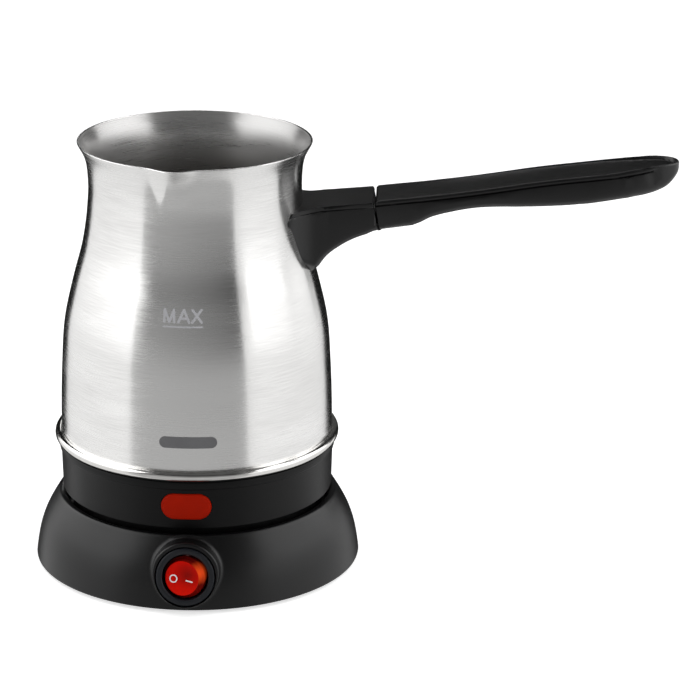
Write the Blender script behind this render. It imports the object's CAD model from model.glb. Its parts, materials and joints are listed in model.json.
import bpy
import bmesh
import json
import math
from mathutils import Matrix, Vector
from mathutils.geometry import interpolate_bezier


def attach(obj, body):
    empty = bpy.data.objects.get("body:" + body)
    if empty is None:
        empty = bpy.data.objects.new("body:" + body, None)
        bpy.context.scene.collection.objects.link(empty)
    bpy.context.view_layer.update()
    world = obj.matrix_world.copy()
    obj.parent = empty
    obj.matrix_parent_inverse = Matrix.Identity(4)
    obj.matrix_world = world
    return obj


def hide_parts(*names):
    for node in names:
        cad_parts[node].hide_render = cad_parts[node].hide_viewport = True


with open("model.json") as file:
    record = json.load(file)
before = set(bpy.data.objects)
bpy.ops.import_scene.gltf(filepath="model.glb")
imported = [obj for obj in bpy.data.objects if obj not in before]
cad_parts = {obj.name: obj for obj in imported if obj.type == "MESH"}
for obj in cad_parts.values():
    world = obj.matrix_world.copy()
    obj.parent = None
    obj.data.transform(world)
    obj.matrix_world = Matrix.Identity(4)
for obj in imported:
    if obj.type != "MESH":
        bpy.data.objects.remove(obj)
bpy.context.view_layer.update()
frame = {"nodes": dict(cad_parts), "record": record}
mm = 0.001

camera = {
    "place": (89.09, -1151.54, 478.72),  # mm, in the frame of the pot
    "pitch": 18.79,  # degrees below the horizon
    "turn": 1.4,
    "roll": 0.504,
    "lens": 157.72,
    "sensor": 36.0,
    "farthest": 20,  # m
}

studio = {
    "white": 1.0,
    "room": 0.42,  # grey of the room in diffuse light
    "softboxLevel": 1.0,
    "softboxAway": 450.0,  # mm from the pot's axis
    "softboxRun": (-440.0, 350.0),  # from front to back
    "softboxHigh": 950.0,
    "softboxLow": 5.0,  # height of their lower edges
    "topLevel": 0.8,
    "topPlace": (0, -100, 1300),
    "topSize": 1100,
    "floorSize": 6,  # m from the middle to each edge
    "floorColour": (0.86, 0.86, 0.86),
    "floorGlow": 0.66,  # what lifts the floor to white for the camera alone
    # what gloss sees round the set: sine of the height, and grey
    "glow": [(-0.32, 0.90), (-0.10, 0.99), (0.02, 1.10), (0.14, 1.42), (0.32, 2.1), (0.57, 2.5)],
    # what the front of the steel mirrors at the left and at the right: height in m, and grey
    "roomLeft": [(-0.44, 0.50), (-0.06, 0.56), (0.05, 0.38), (0.25, 0.40), (0.42, 0.06)],
    "roomRight": [(-0.44, 0.47), (-0.06, 0.60), (0.05, 0.24), (0.25, 0.13), (0.42, 0.05)],
    "roomAcross": (-0.35, 0.55),  # m, where left ends and right begins
}
cards = {  # panels that only gloss sees, mm
    "flags": {"flagLeft": (-240, 205), "flagRight": (240, 262)},  # place across, and how far back they start
    "flagEnd": 2300,
    "flagHeights": (-1500, 900),
    "flagLevel": 0.01,
    "room": {
        "darkRoom": [(-1000, -700, -2200), (980, -700, -2200), (650, -700, 300), (-840, -700, 300)],
        "darkUpper": [(-840, -700, 300), (650, -700, 300), (980, -700, 450), (980, -700, 1000), (-640, -700, 1000),
                      (-700, -700, 450)],
    },
    "plain": {  # with the grey of each
        "darkCeiling": ([(-640, -700, 1000), (980, -700, 1000), (500, 300, 1000), (-500, 300, 1000)], 0.10),
        "darkBack": ([(-60, 520, 60), (640, 520, 60), (640, 520, 1000), (-60, 520, 1000)], 0.07),
    },
}


def addCamera():
    data = bpy.data.cameras.new("camera")
    data.sensor_width = camera["sensor"]
    data.lens = camera["lens"]
    data.clip_end = camera["farthest"]
    viewer = bpy.data.objects.new("camera", data)
    bpy.context.scene.collection.objects.link(viewer)
    turn = Matrix.Rotation(math.radians(camera["turn"]), 4, "Z")
    tip = Matrix.Rotation(math.radians(90 - camera["pitch"]), 4, "X")
    roll = Matrix.Rotation(math.radians(camera["roll"]), 4, "Z")
    viewer.matrix_world = Matrix.Translation(Vector(camera["place"]) * mm) @ turn @ tip @ roll
    bpy.context.scene.camera = viewer


def remap(tree, value, low, high, start=0.3, end=0.7):
    span = tree.nodes.new("ShaderNodeMapRange")
    span.inputs["From Min"].default_value = start
    span.inputs["From Max"].default_value = end
    span.inputs["To Min"].default_value = low
    span.inputs["To Max"].default_value = high
    tree.links.new(value, span.inputs["Value"])
    return span.outputs["Result"]


def shadeStops(tree, height, stops):  # grey that changes with the height, from (height, grey) stops
    ramp = tree.nodes.new("ShaderNodeValToRGB")
    low, high = stops[0][0], stops[-1][0]
    tree.links.new(remap(tree, height, 0, 1, low, high), ramp.inputs["Fac"])
    bands = ramp.color_ramp.elements
    while len(bands) < len(stops):
        bands.new(0.5)
    for band, (z, grey) in zip(bands, stops):
        band.position = (z - low) / (high - low)
        band.color = (grey, grey, grey, 1)
    return ramp.outputs["Color"]


def roomShade(tree):  # grey that darkens upwards and to the right
    place = tree.nodes.new("ShaderNodeTexCoord")
    parts = tree.nodes.new("ShaderNodeSeparateXYZ")
    tree.links.new(place.outputs["Object"], parts.inputs[0])
    mix = tree.nodes.new("ShaderNodeMix")
    mix.data_type = "RGBA"
    tree.links.new(remap(tree, parts.outputs["X"], 0, 1, *studio["roomAcross"]), mix.inputs["Factor"])
    tree.links.new(shadeStops(tree, parts.outputs["Z"], studio["roomLeft"]), mix.inputs["A"])
    tree.links.new(shadeStops(tree, parts.outputs["Z"], studio["roomRight"]), mix.inputs["B"])
    return mix.outputs["Result"]


def addSoftbox(name, place, aim, width, height, level):
    data = bpy.data.lights.new(name, "AREA")
    data.shape = "RECTANGLE"
    data.size = width * mm
    data.size_y = height * mm
    data.energy = level * math.pi * data.size * data.size_y  # this level is its brightness when seen
    lamp = bpy.data.objects.new(name, data)
    bpy.context.scene.collection.objects.link(lamp)
    lamp.location = Vector(place) * mm
    lamp.rotation_euler = (Vector(aim) - Vector(place)).to_track_quat("-Z", "Y").to_euler()
    lamp.visible_camera = lamp.visible_glossy = False


def addCard(name, corners, level=None):  # without a level, the panel is shaded as the room
    bm = bmesh.new()
    bm.faces.new([bm.verts.new(Vector(corner) * mm) for corner in corners])
    mesh = bpy.data.meshes.new(name)
    bm.to_mesh(mesh)
    bm.free()
    card = bpy.data.objects.new(name, mesh)
    bpy.context.scene.collection.objects.link(card)
    finish = bpy.data.materials.new(name)
    finish.use_nodes = True
    tree = finish.node_tree
    tree.nodes.clear()
    glow = tree.nodes.new("ShaderNodeEmission")
    if level is None:
        tree.links.new(roomShade(tree), glow.inputs["Color"])
    else:
        glow.inputs["Color"].default_value = (level, level, level, 1)
    tree.links.new(glow.outputs[0], tree.nodes.new("ShaderNodeOutputMaterial").inputs["Surface"])
    mesh.materials.append(finish)
    card.visible_camera = card.visible_diffuse = card.visible_shadow = False
    card.visible_volume_scatter = False


def addWorld():
    world = bpy.data.worlds.new("studio")
    bpy.context.scene.world = world
    world.use_nodes = True
    tree = world.node_tree
    path = tree.nodes.new("ShaderNodeLightPath")
    straight = tree.nodes.new("ShaderNodeMath")  # 1 where the camera or glass looks straight at it
    straight.operation = "MAXIMUM"
    tree.links.new(path.outputs["Is Camera Ray"], straight.inputs[0])
    tree.links.new(path.outputs["Is Transmission Ray"], straight.inputs[1])
    towards = tree.nodes.new("ShaderNodeTexCoord")
    parts = tree.nodes.new("ShaderNodeSeparateXYZ")
    tree.links.new(towards.outputs["Generated"], parts.inputs[0])
    gloss = tree.nodes.new("ShaderNodeMix")
    gloss.data_type = "RGBA"
    tree.links.new(path.outputs["Is Glossy Ray"], gloss.inputs["Factor"])
    gloss.inputs["A"].default_value = (studio["room"],) * 3 + (1,)
    tree.links.new(shadeStops(tree, parts.outputs["Z"], studio["glow"]), gloss.inputs["B"])
    seen = tree.nodes.new("ShaderNodeMix")
    seen.data_type = "RGBA"
    tree.links.new(straight.outputs[0], seen.inputs["Factor"])
    tree.links.new(gloss.outputs["Result"], seen.inputs["A"])
    seen.inputs["B"].default_value = (studio["white"],) * 3 + (1,)
    tree.links.new(seen.outputs["Result"], tree.nodes["Background"].inputs["Color"])


def addFloor():
    bm = bmesh.new()
    bmesh.ops.create_grid(bm, x_segments=1, y_segments=1, size=studio["floorSize"])
    mesh = bpy.data.meshes.new("floor")
    bm.to_mesh(mesh)
    bm.free()
    floor = bpy.data.objects.new("floor", mesh)
    bpy.context.scene.collection.objects.link(floor)
    finish = bpy.data.materials.new("paleFloor")
    finish.use_nodes = True
    tree = finish.node_tree
    tree.nodes.clear()
    matt = tree.nodes.new("ShaderNodeBsdfDiffuse")
    matt.inputs["Color"].default_value = studio["floorColour"] + (1,)
    glow = tree.nodes.new("ShaderNodeEmission")
    path = tree.nodes.new("ShaderNodeLightPath")
    level = tree.nodes.new("ShaderNodeMath")
    level.operation = "MULTIPLY"
    level.inputs[1].default_value = studio["floorGlow"]
    tree.links.new(path.outputs["Is Camera Ray"], level.inputs[0])
    tree.links.new(level.outputs[0], glow.inputs["Strength"])
    both = tree.nodes.new("ShaderNodeAddShader")
    tree.links.new(matt.outputs[0], both.inputs[0])
    tree.links.new(glow.outputs[0], both.inputs[1])
    tree.links.new(both.outputs[0], tree.nodes.new("ShaderNodeOutputMaterial").inputs["Surface"])
    mesh.materials.append(finish)
    floor.visible_glossy = False  # gloss sees the white round the set instead


addCamera()
addWorld()
addFloor()
front, back = studio["softboxRun"]
for side, name in ((-1, "softboxLeft"), (1, "softboxRight")):
    middle = (side * studio["softboxAway"], (front + back) / 2, studio["softboxHigh"] / 2 + studio["softboxLow"])
    addSoftbox(name, middle, (0, *middle[1:]), studio["softboxHigh"], back - front, studio["softboxLevel"])
addSoftbox("softboxTop", studio["topPlace"], (0, 0, 0), studio["topSize"], studio["topSize"], studio["topLevel"])
end, (low, high) = cards["flagEnd"], cards["flagHeights"]
for name, (x, start) in cards["flags"].items():
    addCard(name, [(x, start, low), (x, end, low), (x, end, high), (x, start, high)], cards["flagLevel"])
for name, corners in cards["room"].items():
    addCard(name, corners)
for name, (corners, level) in cards["plain"].items():
    addCard(name, corners, level)
bpy.context.scene.view_settings.view_transform = "Standard"
print("studio ready")


def newFinish(name, colour, roughness, metallic=0.0):
    finish = bpy.data.materials.new(name)
    finish.use_nodes = True
    shader = finish.node_tree.nodes["Principled BSDF"]
    shader.inputs["Base Color"].default_value = colour + (1,)
    shader.inputs["Roughness"].default_value = roughness
    shader.inputs["Metallic"].default_value = metallic
    return finish, finish.node_tree, shader


def addNoise(tree, scale, stretch=(1, 1, 1), detail=3.0):
    place = tree.nodes.new("ShaderNodeTexCoord")
    mapping = tree.nodes.new("ShaderNodeMapping")
    mapping.inputs["Scale"].default_value = stretch
    tree.links.new(place.outputs["Object"], mapping.inputs["Vector"])
    noise = tree.nodes.new("ShaderNodeTexNoise")
    noise.inputs["Scale"].default_value = scale
    noise.inputs["Detail"].default_value = detail
    tree.links.new(mapping.outputs[0], noise.inputs["Vector"])
    return noise.outputs["Fac"]


def tinted(tree, value, dark, light):
    mix = tree.nodes.new("ShaderNodeMix")
    mix.data_type = "RGBA"
    mix.inputs["A"].default_value = dark + (1,)
    mix.inputs["B"].default_value = light + (1,)
    tree.links.new(value, mix.inputs["Factor"])
    return mix.outputs["Result"]


def addBump(tree, shader, height, strength, distance):
    bump = tree.nodes.new("ShaderNodeBump")
    bump.inputs["Strength"].default_value = strength
    bump.inputs["Distance"].default_value = distance
    tree.links.new(height, bump.inputs["Height"])
    tree.links.new(bump.outputs["Normal"], shader.inputs["Normal"])


brush = {
    "streaks": (90, 90, 4200),  # noise per metre, so drawn out round the axis
    "clouds": (18, 18, 90),
    "shares": (0.55, 0.45),  # of streaks and clouds in the colour
    "rough": (0.85, 1.2),  # spread of the roughness
    "depth": 0.00002,  # m
    "lineTurn": 0.25,  # of a full turn: the lines spread light up and down
    "dullMetal": 0.75,
}
plastic = {"clouds": 45, "rough": (0.9, 1.12), "lighter": (1.35, 0.001), "depth": 0.00006}
metal = {"clouds": 260, "rough": (0.8, 1.25), "grains": 2500, "grain": 0.1, "depth": 0.00003}
mould = {"clouds": 180, "rough": (0.85, 1.15), "grains": 1800, "grain": 0.12, "depth": 0.00004}


def spread(tree, value, rough, factors, start=0.3, end=0.7):  # roughness that wanders with a noise
    return remap(tree, value, rough * factors[0], rough * factors[1], start, end)


def brushedSteel(name, dark, light, rough, grain, aniso, deep=None):
    finish, tree, shader = newFinish(name, light, rough, brush["dullMetal"] if deep else 1.0)
    place = tree.nodes.new("ShaderNodeTexCoord")
    ring = tree.nodes.new("ShaderNodeVectorMath")  # brush lines run round the axis
    ring.operation = "CROSS_PRODUCT"
    ring.inputs[0].default_value = (0, 0, 1)
    tree.links.new(place.outputs["Object"], ring.inputs[1])
    unit = tree.nodes.new("ShaderNodeVectorMath")
    unit.operation = "NORMALIZE"
    tree.links.new(ring.outputs[0], unit.inputs[0])
    tree.links.new(unit.outputs[0], shader.inputs["Tangent"])
    shader.inputs["Anisotropic"].default_value = aniso
    shader.inputs["Anisotropic Rotation"].default_value = brush["lineTurn"]
    streaks = addNoise(tree, 1.0, brush["streaks"], 3.0)
    clouds = addNoise(tree, 1.0, brush["clouds"], 2.0)
    both = tree.nodes.new("ShaderNodeMath")
    both.operation = "ADD"
    for i, noise in enumerate((streaks, clouds)):
        tree.links.new(remap(tree, noise, 0, brush["shares"][i]), both.inputs[i])
    colour = tinted(tree, both.outputs[0], dark, light)
    if deep:  # low, high and colour: the inside of the pot dulls on its way down
        parts = tree.nodes.new("ShaderNodeSeparateXYZ")
        tree.links.new(place.outputs["Object"], parts.inputs[0])
        dull = tree.nodes.new("ShaderNodeMix")
        dull.data_type = "RGBA"
        tree.links.new(remap(tree, parts.outputs["Z"], 0, 1, deep[0] * mm, deep[1] * mm), dull.inputs["Factor"])
        dull.inputs["A"].default_value = deep[2] + (1,)
        tree.links.new(colour, dull.inputs["B"])
        colour = dull.outputs["Result"]
    tree.links.new(colour, shader.inputs["Base Color"])
    tree.links.new(spread(tree, both.outputs[0], rough, brush["rough"], 0.2, 0.8), shader.inputs["Roughness"])
    addBump(tree, shader, streaks, grain, brush["depth"])
    return finish


def blackPlastic(name, colour, rough, gloss, grainSize=0.00035, grain=0.25):
    finish, tree, shader = newFinish(name, colour, rough)
    shader.inputs["Specular IOR Level"].default_value = gloss
    grains = addNoise(tree, 1 / grainSize, detail=2.0)
    clouds = addNoise(tree, plastic["clouds"], detail=3.0)
    tree.links.new(spread(tree, clouds, rough, plastic["rough"]), shader.inputs["Roughness"])
    times, plus = plastic["lighter"]
    lighter = tuple(c * times + plus for c in colour)
    tree.links.new(tinted(tree, grains, colour, lighter), shader.inputs["Base Color"])
    addBump(tree, shader, grains, grain, plastic["depth"])
    return finish


def plainMetal(name, dark, light, rough):
    finish, tree, shader = newFinish(name, light, rough, 1.0)
    clouds = addNoise(tree, metal["clouds"], detail=4.0)
    tree.links.new(tinted(tree, clouds, dark, light), shader.inputs["Base Color"])
    tree.links.new(spread(tree, clouds, rough, metal["rough"]), shader.inputs["Roughness"])
    addBump(tree, shader, addNoise(tree, metal["grains"], detail=2.0), metal["grain"], metal["depth"])
    return finish


def moulded(name, dark, light, rough, coat=0.0, gloss=0.5):
    finish, tree, shader = newFinish(name, light, rough)
    shader.inputs["Coat Weight"].default_value = coat
    shader.inputs["Specular IOR Level"].default_value = gloss
    clouds = addNoise(tree, mould["clouds"], detail=3.0)
    tree.links.new(tinted(tree, clouds, dark, light), shader.inputs["Base Color"])
    tree.links.new(spread(tree, clouds, rough, mould["rough"]), shader.inputs["Roughness"])
    addBump(tree, shader, addNoise(tree, mould["grains"], detail=2.0), mould["grain"], mould["depth"])
    return finish


steel = brushedSteel("steelSatin", (0.74, 0.735, 0.725), (0.87, 0.865, 0.855), 0.24, 0.12, 0.9)
steelInside = brushedSteel("steelInside", (0.43, 0.425, 0.42), (0.52, 0.515, 0.51), 0.30, 0.3, 0.7,
                           (149, 163, (0.30, 0.29, 0.28)))
steelRolled = plainMetal("steelPolished", (0.66, 0.65, 0.63), (0.82, 0.81, 0.79), 0.16)
baseBlack = blackPlastic("blackTextured", (0.0018, 0.0018, 0.0020), 0.34, 0.37)
skirtBlack = blackPlastic("blackSkirt", (0.0012, 0.0012, 0.0013), 0.40, 0.2)
handleBlack = blackPlastic("blackHandle", (0.0018, 0.0018, 0.0019), 0.36, 0.52, grain=0.18)
bezelBlack = blackPlastic("blackBezel", (0.0038, 0.0050, 0.0080), 0.42, 0.4, grain=0.12)
rubberBlack = blackPlastic("rubberFoot", (0.010, 0.010, 0.010), 0.75, 0.4, 0.0006, 0.4)
lensRed = moulded("lensRed", (0.31, 0.0072, 0.0), (0.39, 0.0095, 0.0001), 0.42, gloss=0.05)
brass = plainMetal("brassContact", (0.60, 0.42, 0.17), (0.78, 0.60, 0.30), 0.28)
pinBlack = plainMetal("blackenedPin", (0.012, 0.012, 0.012), (0.020, 0.020, 0.020), 0.5)
zinc = plainMetal("zincScrew", (0.50, 0.50, 0.49), (0.66, 0.66, 0.65), 0.3)
castAluminium = plainMetal("castAluminium", (0.50, 0.51, 0.52), (0.68, 0.69, 0.70), 0.42)
ceramicWhite = moulded("ceramicWhite", (0.66, 0.64, 0.58), (0.80, 0.78, 0.72), 0.6)
nylonPale = moulded("nylonPale", (0.62, 0.60, 0.54), (0.76, 0.74, 0.67), 0.4)
etched = moulded("etchedGrey", (0.41, 0.41, 0.43), (0.48, 0.48, 0.50), 0.6, gloss=0.1)
badgeGrey = moulded("badgeGrey", (0.130, 0.130, 0.135), (0.160, 0.160, 0.165), 0.5, gloss=0.2)
rockerDark = moulded("rockerDark", (0.10, 0.003, 0.002), (0.14, 0.004, 0.003), 0.3)
printWhite = moulded("printWhite", (0.78, 0.78, 0.80), (0.88, 0.88, 0.90), 0.45)
lampGlass = moulded("lampGlass", (0.75, 0.35, 0.22), (0.85, 0.45, 0.30), 0.15, 0.5)
print("finishes ready")


def smoothLine(points, steps):  # a soft curve through the points, with its ends left straight
    knots = [Vector((*p, 0)) for p in points]
    runs = [(b - a).length for a, b in zip(knots, knots[1:])]
    tangents = [(knots[1] - knots[0]) / runs[0]]
    for i in range(1, len(knots) - 1):
        before, after = (knots[i] - knots[i - 1]) / runs[i - 1], (knots[i + 1] - knots[i]) / runs[i]
        tangents.append((before * runs[i] + after * runs[i - 1]) / (runs[i] + runs[i - 1]))
    tangents.append((knots[-1] - knots[-2]) / runs[-1])
    line = []
    for i, run in enumerate(runs):
        ahead, back = knots[i] + tangents[i] * run / 3, knots[i + 1] - tangents[i + 1] * run / 3
        line += interpolate_bezier(knots[i], ahead, back, knots[i + 1], steps + 1)[:-1]
    return [(p.x, p.y) for p in line + [knots[-1]]]


def lathe(points, steps=288, closed=False, fine=None):  # (radius, height) points in mm, turned about Z
    bm = bmesh.new()
    verts = [bm.verts.new((r * mm, 0, z * mm)) for r, z in points]
    edges = [bm.edges.new(pair) for pair in zip(verts, verts[1:])]
    if closed:
        edges.append(bm.edges.new((verts[-1], verts[0])))
    if fine is None:
        bmesh.ops.spin(bm, geom=verts + edges, cent=(0, 0, 0), axis=(0, 0, 1), dvec=(0, 0, 0), angle=math.tau,
                       steps=steps, use_merge=True)
    else:  # a stretch with narrow steps first: where it starts, how far it runs, and its steps
        start, reach, count = fine
        bmesh.ops.rotate(bm, verts=verts, cent=(0, 0, 0), matrix=Matrix.Rotation(start, 3, "Z"))
        last = verts + edges
        for angle, parts in ((reach, count), (math.tau - reach, steps)):
            last = bmesh.ops.spin(bm, geom=last, cent=(0, 0, 0), axis=(0, 0, 1), dvec=(0, 0, 0), angle=angle,
                                  steps=parts)["geom_last"]
    bmesh.ops.remove_doubles(bm, verts=bm.verts, dist=1e-7)
    bmesh.ops.recalc_face_normals(bm, faces=bm.faces)
    return bm


def finished(name, bm, finish, body, sharp=40, place=None):
    if place is not None:
        bmesh.ops.transform(bm, matrix=place, verts=bm.verts)
    mesh = bpy.data.meshes.new(name)
    bm.to_mesh(mesh)
    bm.free()
    mesh.shade_smooth()
    mesh.set_sharp_from_angle(angle=math.radians(sharp))
    piece = bpy.data.objects.new(name, mesh)
    bpy.context.scene.collection.objects.link(piece)
    piece.data.materials.append(finish)
    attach(piece, body)
    return piece


def carve(piece, cutters):  # cuts each bmesh out of the piece
    for bm in cutters:
        mesh = bpy.data.meshes.new("cutter")
        bm.to_mesh(mesh)
        bm.free()
        cutter = bpy.data.objects.new("cutter", mesh)
        bpy.context.scene.collection.objects.link(cutter)
        cut = piece.modifiers.new("cut", "BOOLEAN")
        cut.object = cutter
        cut.operation = "DIFFERENCE"
        cut.solver = "EXACT"
        graph = bpy.context.evaluated_depsgraph_get()
        result = bpy.data.meshes.new_from_object(piece.evaluated_get(graph))
        piece.modifiers.clear()
        piece.data = result
        bpy.data.objects.remove(cutter)


def obround(width, height, low, high, edge, slices):  # a pill in the XY plane, raised from low to high
    bm = bmesh.new()
    bmesh.ops.create_circle(bm, cap_ends=True, radius=height / 2, segments=64)
    for v in bm.verts:
        if abs(v.co.x) > 1e-6:
            v.co.x += math.copysign((width - height) / 2, v.co.x)
        v.co.z = low
    top = bmesh.ops.extrude_face_region(bm, geom=bm.faces[:])["geom"]
    bmesh.ops.translate(bm, vec=(0, 0, high - low), verts=[g for g in top if isinstance(g, bmesh.types.BMVert)])
    rim = [e for e in bm.edges if all(abs(v.co.z - high) < 1e-6 for v in e.verts)]
    if edge:
        bmesh.ops.bevel(bm, geom=rim, offset=edge, segments=4, profile=0.5, affect="EDGES", material=-1)
    for i in range(1, slices):
        cut = -width / 2 + width * i / slices
        bmesh.ops.bisect_plane(bm, geom=bm.verts[:] + bm.edges[:] + bm.faces[:], plane_co=(cut, 0, 0),
                               plane_no=(1, 0, 0))
    bmesh.ops.recalc_face_normals(bm, faces=bm.faces)
    return bm


def wrapRound(bm, turn, height, radius):  # lays a flat piece on a wall: x round it, y up it, z out of it
    for v in bm.verts:
        z = height + v.co.y
        r = radius(z)
        angle = math.radians(turn) + v.co.x / r
        v.co = Vector(((r + v.co.z) * math.sin(angle), -(r + v.co.z) * math.cos(angle), z)) * mm


def refined(node, finish, sharp):  # a merged, smooth copy of a CAD node
    bm = bmesh.new()
    bm.from_mesh(frame["nodes"][node].data)
    bmesh.ops.remove_doubles(bm, verts=bm.verts, dist=2e-6)
    body = next(b for b, members in frame["record"]["behaviour"]["bodies"].items() if node in members)
    piece = finished(node + "Fine", bm, finish, body, sharp)
    weighted = piece.modifiers.new("flatStaysFlat", "WEIGHTED_NORMAL")
    weighted.keep_sharp = True
    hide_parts(node)
    return piece


def slotted(piece):
    return piece


pot = {
    "outline": [(54.0, 54.2), (53.9, 66), (53.3, 82), (51.9, 100), (48.4, 116), (44.2, 132), (42.2, 146),
                (41.7, 156), (43.2, 166.8), (45.75, 171.8)],
    "rimHeight": 172.2,
    "wall": 0.8,
    "lip": [(45.8, 172.0), (45.65, 172.15), (45.4, 172.2), (45.15, 172.15), (45.0, 172.0)],
    "insideTop": 171.9,  # height where the inside finish ends
    "floor": 56.5,
    "floorThick": 1,
    "floorCorner": 6.0,
    "floorRings": (40, 30, 20, 10, 4, 0),
    "underRings": (0, 20, 40, 53.7),
    "bead": (54.7, 52.9, 1.9),  # radius of the ring, height, radius of the roll
    "beadSteps": 28,
    "steps": 300,
    "fine": (-32, 50, 150),  # degrees from straight ahead, degrees and steps of the narrow steps at the spout
}
spout = {
    "turn": -6.2,  # degrees from straight ahead, away from the handle
    "footTurn": -5.5,  # how much further the foot of the crease lies
    "foot": 156.5,
    "below": 3.14,  # mm under the foot where the wall may still move
    "press": 3.7,  # mm that the lip stands out of the rim
    "flank": 0.66,  # slope of the sharp flank
    "tipSoft": 3.0,
    "crease": 1.0,  # width of the blend at its crease, mm
    "fade": 11.0,  # mm over which the flank towards the handle fades out
}
potLine = smoothLine(pot["outline"], 10)


def radiusAt(line, z):  # radius of a (radius, height) line at a height
    for (ra, za), (rb, zb) in zip(line, line[1:]):
        if za <= z <= zb:
            return ra + (rb - ra) * (z - za) / (zb - za)
    return line[0][0] if z < line[0][1] else line[-1][0]


def potRadius(z):
    return radiusAt(potLine, z)


def pressed(angle, z):  # how far the pouring lip pushes the wall out, angle from straight ahead
    share = (z - spout["foot"]) / (pot["rimHeight"] - spout["foot"])  # 0 at the foot, 1 at the rim
    plain = potRadius(z)
    angle -= math.radians(spout["turn"] + spout["footTurn"] * (1 - share))
    across = plain * math.sin(angle)
    if angle > 0:
        fade = max(0.0, math.cos(math.pi / 2 * min(across / spout["fade"], 1))) ** 2
        return spout["press"] * max(share, 0) * fade
    soft = spout["tipSoft"]
    reach = plain + spout["press"] * share - spout["flank"] * (math.hypot(across, soft) - soft)
    out = reach / math.cos(angle) - plain
    blend = max(spout["crease"] - abs(out), 0) / spout["crease"]
    return max(out, 0) + blend ** 2 * spout["crease"] / 4


def ahead(v):  # angle of a point round the axis, from straight ahead
    return math.atan2(v.co.x, -v.co.y)


def makeVessel():
    wall, low, thick, corner = pot["wall"], pot["floor"], pot["floorThick"], pot["floorCorner"]
    under = [(r, low - thick) for r in pot["underRings"]] + [(pot["underRings"][-1], potLine[0][1])]
    inner = [(r - wall, z) for r, z in reversed(potLine) if z > low + corner]
    turns = [math.radians(a) for a in range(10, 91, 10)]
    bend = [(inner[-1][0] - corner + corner * math.cos(a), low + corner - corner * math.sin(a)) for a in turns]
    floor = [(r, low) for r in pot["floorRings"]]
    start, run, count = pot["fine"]
    bm = lathe(under + potLine + pot["lip"] + inner + bend + floor, pot["steps"],
               fine=(math.radians(start - 90), math.radians(run), count))
    for f in bm.faces:
        centre = f.calc_center_median() / mm
        within = math.hypot(centre.x, centre.y) < potRadius(centre.z) - wall / 2
        f.material_index = 1 if within and low - thick / 2 < centre.z < pot["insideTop"] else 0
    for v in bm.verts:
        if v.co.z > (spout["foot"] - spout["below"]) * mm and start < math.degrees(ahead(v)) < start + run:
            grow = pressed(ahead(v), v.co.z / mm) * mm / math.hypot(v.co.x, v.co.y)
            v.co.x *= 1 + grow
            v.co.y *= 1 + grow
    piece = finished("steelVessel", bm, steel, "pot", 50)
    piece.data.materials.append(steelInside)
    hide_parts("pot_vessel")
    return slotted(piece)


def makeBead():
    ring, height, roll = pot["bead"]
    turns = [math.tau * i / pot["beadSteps"] for i in range(pot["beadSteps"])]
    line = [(ring + roll * math.cos(a), height + roll * math.sin(a)) for a in turns]
    return slotted(finished("footBead", lathe(line, pot["steps"], True), steelRolled, "pot"))


fillMark = {
    "turn": -1.65,
    "height": 111.4,
    "width": 0.92,  # of each stroke, mm
    "lift": 0.03,
    "step": 0.003,  # by which each stroke stands prouder than the last, so that no two share a face
    "sunk": -0.05,
    "strokes": [((-7.1, 2.0), (-7.0, 6.6)), ((-6.95, 6.6), (-5.15, 2.0)), ((-5.15, 2.0), (-3.4, 6.6)),
                ((-3.4, 6.6), (-3.3, 2.0)), ((-1.7, 2.0), (0.4, 6.6)), ((0.4, 6.6), (2.45, 2.0)),
                ((-0.9, 3.4), (1.7, 3.4)), ((3.65, 6.6), (7.2, 2.0)), ((3.6, 2.0), (7.05, 6.6))],
    "line": (15.5, 0.6, 0.25),  # length, thickness, height
}


def makeFillMark():
    whole = bmesh.new()
    strokes = [(Vector(a), Vector(b), fillMark["width"]) for a, b in fillMark["strokes"]]
    length, thick, height = fillMark["line"]
    end = length / 2 - thick / 2
    strokes.append((Vector((-end, height)), Vector((end, height)), thick))
    for i, (a, b, width) in enumerate(strokes):
        run = b - a
        lift = fillMark["lift"] + fillMark["step"] * i
        bm = obround(run.length + width, width, fillMark["sunk"], lift, 0, max(4, round(run.length)))
        place = Matrix.Translation((*((a + b) / 2), 0)) @ Matrix.Rotation(math.atan2(run.y, run.x), 4, "Z")
        bmesh.ops.transform(bm, matrix=place, verts=bm.verts)
        mesh = bpy.data.meshes.new("stroke")
        bm.to_mesh(mesh)
        bm.free()
        whole.from_mesh(mesh)
        bpy.data.meshes.remove(mesh)
    wrapRound(whole, fillMark["turn"], fillMark["height"], potRadius)
    return slotted(finished("fillMark", whole, etched, "pot", 30))


badge = {"turn": 0.6, "height": 66.5, "size": (22.4, 4.6), "sunk": -0.1, "proud": 0.22, "edge": 0.12, "slices": 24}


def makeBadge():
    bm = obround(*badge["size"], badge["sunk"], badge["proud"], badge["edge"], badge["slices"])
    wrapRound(bm, badge["turn"], badge["height"], potRadius)
    return slotted(finished("blankBadge", bm, badgeGrey, "pot", 40))


makeVessel()
makeBead()
makeFillMark()
makeBadge()
print("steel pot ready")

skirt = {
    "outline": [(51.8, 31.0), (53.3, 31.0), (53.62, 31.1), (53.78, 31.3), (53.82, 31.6), (54.25, 46.8), (54.35, 47.2),
                (54.6, 47.45), (54.82, 47.6), (54.9, 47.9), (54.9, 50.1), (54.82, 50.3), (54.6, 50.4), (50.4, 50.4),
                (50.4, 48.4), (51.8, 48.4)],
    "windowHeight": 40.3,
    "window": (20.0, 10.9),
    "windowCut": (-54, 8),  # middle of the cutter, and how far it reaches each way
    "steps": 320,
    "sharp": 30,  # degrees
}
lens = {"size": (19.6, 10.5), "turn": -0.4, "radius": 54.05, "sunk": -2.0, "proud": 0.75, "edge": 0.7, "slices": 24}


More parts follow.
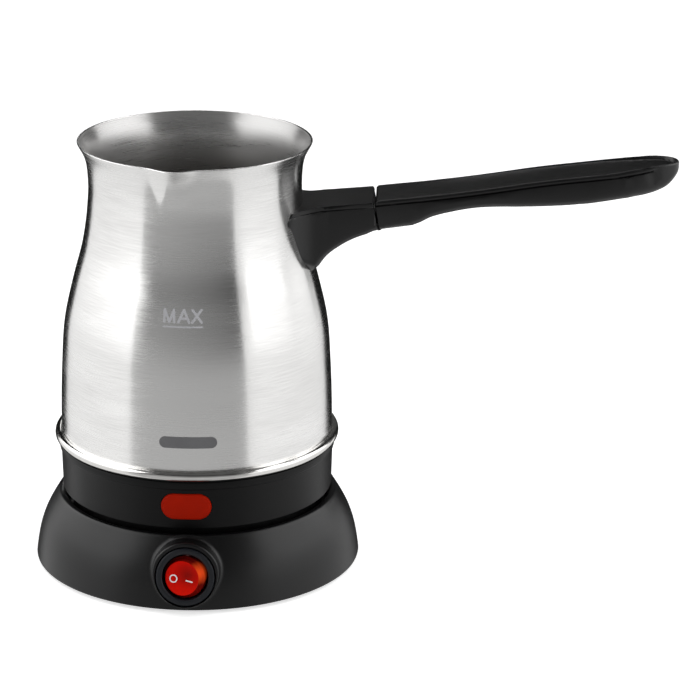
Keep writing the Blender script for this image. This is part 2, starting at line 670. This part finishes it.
def makeSkirt():
    shell = lathe(skirt["outline"], skirt["steps"], True)
    piece = finished("skirtShell", shell, skirtBlack, "pot", skirt["sharp"])
    middle, reach = skirt["windowCut"]
    hole = obround(*skirt["window"], -reach, reach, 0, 1)
    across = lens["radius"] * math.sin(math.radians(lens["turn"]))
    place = Matrix.Translation(Vector((across, middle, skirt["windowHeight"])) * mm)
    place @= Matrix.Rotation(math.pi / 2, 4, "X") @ Matrix.Scale(mm, 4)
    bmesh.ops.transform(hole, matrix=place, verts=hole.verts)
    carve(piece, [hole])
    piece.data.set_sharp_from_angle(angle=math.radians(skirt["sharp"]))
    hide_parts("pot_skirt")
    return slotted(piece)


def makeLens():
    bm = obround(*lens["size"], lens["sunk"], lens["proud"], lens["edge"], lens["slices"])
    wrapRound(bm, lens["turn"], skirt["windowHeight"], lambda z: lens["radius"])
    piece = finished("pilotLens", bm, lensRed, "pot", 40)
    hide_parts("indicator_lens")
    return slotted(piece)


makeSkirt()
makeLens()
print("skirt ready")

base = {
    "foot": [(64.6, 1.5), (64.85, 1.6)],
    "dome": [(65.0, 2.1), (64.4, 6.5), (63.3, 12.0), (61.5, 17.5), (58.6, 23.3), (56.0, 27.6)],
    "crown": [(56.0, 27.6), (55.2, 28.55), (54.2, 28.7), (53.0, 28.3), (52.4, 27.2)],
    "dishCorner": [(52.4, 24.0), (52.1, 23.1), (51.6, 22.65), (50.8, 22.5)],
    "inside": [(15.7, 22.5), (15.7, 20.4), (54.4, 20.4), (60.0, 14.0), (62.0, 7.0), (62.5, 3.7), (62.5, 1.5)],
    "steps": 360,
    "sharp": 40,  # degrees
    "switchHole": (12.6, -14, 4),  # radius, and from where to where along the switch's axis
    "inletHole": (5.1, -8, 8),
    "inletPlace": (0, 63, 10),
}
switch = {
    "place": (0, -67.0, 16.2),
    "tilt": 10.0,
    "roll": 5.0,
    "collar": 13.5,
    "collarLow": 12.25,
    "hoodLow": -4.0,  # height below the switch's middle where the hood has run out
    "hoodRise": 10.0,
    "collarHole": 11.85,
    "collarDeep": -13.0,
    "collarEdge": 0.9,  # radius of its outer edge
    "collarChamfer": 0.15,
    "collarSteps": 128,
    "capTilt": -14.0,
    "pivot": -4.4,
    "capShift": -0.4,
}
switchPlace = (Matrix.Translation(Vector(switch["place"]) * mm)
               @ Matrix.Rotation(math.radians(90 - switch["tilt"]), 4, "X")
               @ Matrix.Rotation(math.radians(-switch["roll"]), 4, "Z"))
domeLine = smoothLine(base["dome"], 10)


def plug(radius, low, high, steps):
    return lathe([(0, low), (radius, low), (radius, high), (0, high)], steps)


def makeDome():
    line = base["foot"] + domeLine + smoothLine(base["crown"], 4)[1:] + base["dishCorner"] + base["inside"]
    piece = finished("baseDome", lathe(line, base["steps"], True), baseBlack, "base", base["sharp"])
    hole = plug(*base["switchHole"], 96)
    bmesh.ops.transform(hole, matrix=switchPlace, verts=hole.verts)
    inlet = plug(*base["inletHole"], 64)
    back = Matrix.Translation(Vector(base["inletPlace"]) * mm) @ Matrix.Rotation(math.pi / 2, 4, "X")
    bmesh.ops.transform(inlet, matrix=back, verts=inlet.verts)
    carve(piece, [hole, inlet])
    piece.data.set_sharp_from_angle(angle=math.radians(base["sharp"]))
    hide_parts("base_shell")
    return slotted(piece)


def hoodRadius(around):  # the collar stands proud above and sinks to the bezel's size below
    share = min(max((math.sin(around) * switch["collar"] - switch["hoodLow"]) / switch["hoodRise"], 0), 1)
    return switch["collarLow"] + (switch["collar"] - switch["collarLow"]) * share


def makeCollar():
    r, hole, deep = switch["collar"], switch["collarHole"], switch["collarDeep"]
    soft, chamfer = switch["collarEdge"], switch["collarChamfer"]
    turns = [math.radians(a) for a in range(15, 91, 15)]
    edge = [(r - soft + soft * math.cos(a), -soft + soft * math.sin(a)) for a in turns]
    line = [(hole, deep), (r, deep), (r, -soft)] + edge + [(hole + chamfer, 0), (hole, -chamfer)]
    bm = lathe(line, switch["collarSteps"], True)
    for v in bm.verts:
        reach = math.hypot(v.co.x, v.co.y) / mm
        if reach > hole + chamfer * 1.3:  # the hole and its chamfer stay round
            shrink = (hoodRadius(math.atan2(v.co.y, v.co.x)) - hole) / (r - hole)
            scale = (hole + (reach - hole) * shrink) / reach
            v.co.x *= scale
            v.co.y *= scale
    return slotted(finished("switchCollar", bm, baseBlack, "base", 40, switchPlace))


fillet = {
    "size": 1.6,
    "least": 0.12,  # where the collar barely stands out
    "share": 0.8,  # of what there is below the collar's edge
    "top": -0.5,  # height it may climb to
    "pull": 0.6,  # how far its curve leans into the corner
    "clear": 0.01,  # how far it lies on the two surfaces
    "rows": 9,
    "search": (-14.0, 8.0),  # along the switch's axis
}


def domeDepth(around, radius):  # where a line along the collar meets the dome
    low, high = fillet["search"]
    for _ in range(40):
        middle = (low + high) / 2
        p = switchPlace @ (Vector((radius * math.cos(around), radius * math.sin(around), middle)) * mm) / mm
        inside = math.hypot(p.x, p.y) < radiusAt(domeLine, p.z)
        low, high = (middle, high) if inside else (low, middle)
    return (low + high) / 2


def makeCollarFillet():
    bm = bmesh.new()
    edges = []
    for i in range(switch["collarSteps"]):
        around = math.tau * i / switch["collarSteps"]
        r = hoodRadius(around)
        meet = domeDepth(around, r)
        reach = min(fillet["size"], max(fillet["least"], (-switch["collarEdge"] - meet) * fillet["share"]))
        corner = Vector((r, meet, 0))
        foot = Vector((r + reach, domeDepth(around, r + reach) + fillet["clear"], 0))
        head = Vector((r + fillet["clear"], min(meet + reach, fillet["top"]), 0))
        curve = interpolate_bezier(foot, foot.lerp(corner, fillet["pull"]), head.lerp(corner, fillet["pull"]), head,
                                   fillet["rows"])
        row = [bm.verts.new(Vector((c.x * math.cos(around), c.x * math.sin(around), c.y)) * mm) for c in curve]
        edges += [bm.edges.new(pair) for pair in zip(row, row[1:])]
    bmesh.ops.bridge_loops(bm, edges=edges, use_cyclic=True)
    bmesh.ops.recalc_face_normals(bm, faces=bm.faces)
    return slotted(finished("collarFillet", bm, baseBlack, "base", 60, switchPlace))


bezel = {
    "outline": [(8.9, -11.0), (0, -11.0), (0, -12.5), (10.0, -12.5), (10.0, -2.0), (11.5, -2.0), (11.5, -0.75),
                (11.38, -0.45), (11.1, -0.2), (10.8, -0.05), (10.4, 0.0), (9.4, -0.02), (9.1, -0.12), (8.92, -0.4),
                (8.85, -1.0)],
    "steps": 128,
}


def makeBezel():
    bm = lathe(bezel["outline"], bezel["steps"], True)
    piece = finished("switchBezel", bm, bezelBlack, "base", 40, switchPlace)
    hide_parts("switch_housing")
    return slotted(piece)


capPlace = (switchPlace @ Matrix.Translation((0, switch["capShift"] * mm, switch["pivot"] * mm))
            @ Matrix.Rotation(math.radians(switch["capTilt"]), 4, "Y"))
cap = {
    "wall": [(0, -4.0), (7.9, -4.0), (8.2, -3.6), (8.2, 1.4), (8.0, 1.7), (7.5, 1.85)],
    "flank": [(7.5, 1.85), (7.25, 2.3), (6.85, 4.4), (6.72, 4.75)],
    "face": [(6.72, 4.75), (6.6, 4.95), (6.4, 5.0), (5.0, 4.78), (3.4, 4.6), (1.7, 4.5), (0, 4.46)],
    "steps": 128,
    "faceFrom": 4.2,  # height where the face's finish begins
    "gloss": 0.04,
    "grains": 1500,  # per metre
    "grain": 0.06,
    "grainDepth": 0.00003,  # m
    "footFade": (-6, -1),  # heights on the face between which its lower side turns lighter
    "axle": (1.2, 9.4),  # radius, half the length
    "ring": (-3.4, -0.6, 1.38, 0.22),  # across, up, radius, half the stroke
    "ringTop": (4.86, 4.90),  # at its inner and its outer edge
    "bar": (3.0, -0.75, 2.9, 0.48),  # across, up, length, width
    "barTop": 4.80,
    "barEdge": 0.05,
    "barTurn": -5,
    "markFoot": 4.3,
}


def capShade(name, inner, outer, low, spot, reach, rough, glow=None):  # red that changes away from one spot
    finish, tree, shader = newFinish(name, outer, rough)
    shader.inputs["Specular IOR Level"].default_value = cap["gloss"]
    place = tree.nodes.new("ShaderNodeTexCoord")
    local = tree.nodes.new("ShaderNodeMapping")
    local.vector_type = "TEXTURE"
    local.inputs["Location"].default_value = capPlace.to_translation()
    local.inputs["Rotation"].default_value = capPlace.to_euler()
    tree.links.new(place.outputs["Object"], local.inputs["Vector"])
    away = tree.nodes.new("ShaderNodeVectorMath")
    away.operation = "DISTANCE"
    away.inputs[1].default_value = Vector(spot) * mm
    tree.links.new(local.outputs[0], away.inputs[0])
    near = remap(tree, away.outputs["Value"], 0, 1, reach[0] * mm, reach[1] * mm)
    colour = tinted(tree, near, inner, outer)
    parts = tree.nodes.new("ShaderNodeSeparateXYZ")
    tree.links.new(local.outputs[0], parts.inputs[0])
    foot = tree.nodes.new("ShaderNodeMix")
    foot.data_type = "RGBA"
    start, end = cap["footFade"]
    tree.links.new(remap(tree, parts.outputs["Y"], 1, 0, start * mm, end * mm), foot.inputs["Factor"])
    tree.links.new(colour, foot.inputs["A"])
    foot.inputs["B"].default_value = low + (1,)
    tree.links.new(foot.outputs["Result"], shader.inputs["Base Color"])
    if glow:
        tree.links.new(tinted(tree, near, glow, (0, 0, 0)), shader.inputs["Emission Color"])
        shader.inputs["Emission Strength"].default_value = 1.0
    addBump(tree, shader, addNoise(tree, cap["grains"], detail=2.0), cap["grain"], cap["grainDepth"])
    return finish


capColours = {  # at the spot, away from it and at the lower side; spot and reach in mm
    "flank": {"inner": (0.60, 0.05, 0.01), "outer": (0.16, 0.004, 0.002), "low": (0.20, 0.004, 0.002),
              "spot": (7.6, 3.4, 3.4), "reach": (0.8, 5.5), "rough": 0.25, "glow": (0.38, 0.036, 0.004)},
    "face": {"inner": (0.26, 0.004, 0.002), "outer": (0.58, 0.004, 0.0005), "low": (0.66, 0.006, 0.001),
             "spot": (2.0, 1.6, 4.5), "reach": (0.5, 6.0), "rough": 0.3},
}


def makeRocker():
    flank = capShade("rockerFlank", **capColours["flank"])
    face = capShade("rockerFace", **capColours["face"])
    bm = lathe(cap["wall"] + cap["flank"][1:] + cap["face"][1:], cap["steps"])
    for f in bm.faces:
        centre = f.calc_center_median() / mm
        onFace = centre.z > cap["faceFrom"] and math.hypot(centre.x, centre.y) < cap["face"][0][0]
        f.material_index = 1 if onFace else 0
    piece = finished("rockerCap", bm, flank, "rocker", 45, capPlace)
    piece.data.materials.append(face)
    radius, half = cap["axle"]
    axle = plug(radius, -half, half, 32)
    bmesh.ops.rotate(axle, verts=axle.verts, cent=(0, 0, 0), matrix=Matrix.Rotation(math.pi / 2, 3, "X"))
    slotted(finished("rockerAxle", axle, rockerDark, "rocker", 40, capPlace))
    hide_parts("switch_rocker")
    return slotted(piece)


def makeRockerMarks():
    across, up, radius, half = cap["ring"]
    foot, (inner, outer) = cap["markFoot"], cap["ringTop"]
    within, beyond = radius - half, radius + half
    ring = lathe([(within, foot), (within, inner), (beyond, outer), (beyond, foot)], 64, True)
    bmesh.ops.translate(ring, vec=Vector((across, up, 0)) * mm, verts=ring.verts)
    slotted(finished("markOff", ring, printWhite, "rocker", 30, capPlace))
    across, up, length, width = cap["bar"]
    bar = obround(length, width, foot, cap["barTop"], cap["barEdge"], 1)
    place = capPlace @ Matrix.Translation(Vector((across, up, 0)) * mm)
    place @= Matrix.Rotation(math.radians(cap["barTurn"]), 4, "Z") @ Matrix.Scale(mm, 4)
    slotted(finished("markOn", bar, printWhite, "rocker", 30, place))


makeDome()
makeCollar()
makeCollarFillet()
makeBezel()
makeRocker()
makeRockerMarks()
print("base ready")

finishes = {
    "base_bottom_plate": baseBlack, "base_connector": baseBlack, "cord_clamp": baseBlack,
    "foot_ring": rubberBlack, "cord_gland": rubberBlack, "seal_ring": rubberBlack,
    "skirt_cover": skirtBlack, "pot_socket": skirtBlack, "hinge_washers": skirtBlack,
    "contact_centre": brass, "contact_inner": brass, "contact_outer": brass, "switch_terminals": brass,
    "socket_pin": brass, "socket_inner_ring": brass, "socket_outer_ring": brass,
    "base_screws": zinc, "clamp_screws": zinc, "pot_screws": zinc, "weld_clip": zinc, "bracket_screw": zinc,
    "hinge_pin": pinBlack,
    "heater_plate": castAluminium, "heating_element": castAluminium,
    "thermostat": ceramicWhite, "thermal_fuse": ceramicWhite,
    "turntable_ring": nylonPale, "lamp_holder": nylonPale,
    "pilot_lamp": lampGlass,
}
for node, finish in finishes.items():
    slots = frame["nodes"][node].data.materials
    slots.clear()
    slots.append(finish)

handle = {  # its lines: x, height as drawn and how much higher the finished line lies, mm
    "bracketTop": [(44, 148.2, 0), (50, 148.7, 0.5), (66, 150.1, 0.66), (74, 150.8, 0.7)],
    "gripTop": [(70, 150.8, 0.7), (76, 151.6, 0.68), (88, 153.1, 0.5), (100, 154.6, 0.62), (115, 156.5, 0.87),
                (130, 158.8, 1.07), (140, 160.2, 1.07), (150, 161.4, 1.08), (165, 163.2, 1.25), (180, 164.9, 1.58),
                (190, 165.4, 1.3)],
    "under": [(44, 119, 0), (50, 127.0, -0.35), (56, 132.8, -0.6), (70, 139.2, -0.65), (80, 141.0, -0.43),
              (84, 141.7, -0.3), (88, 143.3, -0.6), (92, 144.9, 0), (100, 147.1, 0), (110, 148.7, 0.3),
              (125, 149.3, 0.2), (140, 149.6, 0.6), (149, 150.3, 0.7), (157, 151.6, 0.35), (162, 152.6, 0),
              (168, 153.9, -0.35), (174, 154.6, -0.1), (181, 155.8, 0.65), (188, 161.0, 0.8)],
    "tip": (150, 38, 0.7),  # where the end begins to shorten, over what length and by how much
    "edgeLean": 0.55,  # mm that the long top edges lean in
    "edge": 1.45,  # depth of the leaning edge, down to the groove
    "edgeSide": 9,  # how far out the edges lie at least
    "grooveBand": (1.25, 2.05),  # depths under the top between which the groove runs
    "grooveSide": 7,
    "grooveDeep": 0.6,  # mm more than drawn
    "grooveWide": 0.35,
    "flare": (50, 8),  # x to which edge and groove stay as drawn, and how far their change grows past it
    "hinge": (71.9, 140.0, 2.2, 3.0),  # x, height, radius that stays as drawn, and how far the moves grow past it
    "sharp": 35,  # degrees
}


def lineAt(line, x):  # height and rise of a handle line at x
    for (xa, za, ra), (xb, zb, rb) in zip(line, line[1:]):
        if x <= xb:
            share = max(0, (x - xa) / (xb - xa))
            return za + (zb - za) * share, ra + (rb - ra) * share
    return line[-1][1:]


def trimHandle(piece, top):  # leans the edges, deepens the groove and brings the lines to their finished heights
    bm = bmesh.new()
    bm.from_mesh(piece.data)

    def drop(co):
        return lineAt(top, co.x / mm)[0] - co.z / mm

    inner, lower = set(), set()
    high, low = handle["grooveBand"]
    for f in bm.faces:
        drops = [drop(v.co) for v in f.verts]
        outside = min(abs(v.co.y) for v in f.verts) > handle["grooveSide"] * mm
        if outside and min(drops) > high and max(drops) < low:
            if abs(f.normal.z) < 0.5:
                inner.update(f.verts)  # the back of the groove
            elif f.normal.z > 0:
                lower.update(f.verts)
    moves = {}
    hingeX, hingeZ, still, grow = handle["hinge"]
    start, length, shorter = handle["tip"]
    flareEnd, flareFade = handle["flare"]
    for v in bm.verts:
        x, z, side = v.co.x / mm, v.co.z / mm, math.copysign(1, v.co.y)
        (low, lowRise), (high, highRise) = lineAt(handle["under"], x), lineAt(top, x)
        share = min(max((z - low) / (high - low), 0), 1)
        up = lowRise + (highRise - lowRise) * share
        lean = min(max(1 - drop(v.co) / handle["edge"], 0), 1) if abs(v.co.y) > handle["edgeSide"] * mm else 0
        away = min(max((x - flareEnd) / flareFade, 0), 1)
        across = (lean * handle["edgeLean"] + (handle["grooveDeep"] if v in inner else 0)) * away
        up -= handle["grooveWide"] * away if v in lower else 0
        free = min(max((math.hypot(x - hingeX, z - hingeZ) - still) / grow, 0), 1)
        moves[v] = Vector((-shorter * (max(x - start, 0) / length) ** 2, -side * across, up)) * mm * free
    for v, move in moves.items():
        v.co += move
    bm.to_mesh(piece.data)
    bm.free()
    piece.data.set_sharp_from_angle(angle=math.radians(handle["sharp"]))
    slotted(piece)


trimHandle(refined("handle_bracket", handleBlack, handle["sharp"]), handle["bracketTop"])
trimHandle(refined("handle_grip", handleBlack, handle["sharp"]), handle["gripTop"])
print("carried-over pieces ready")
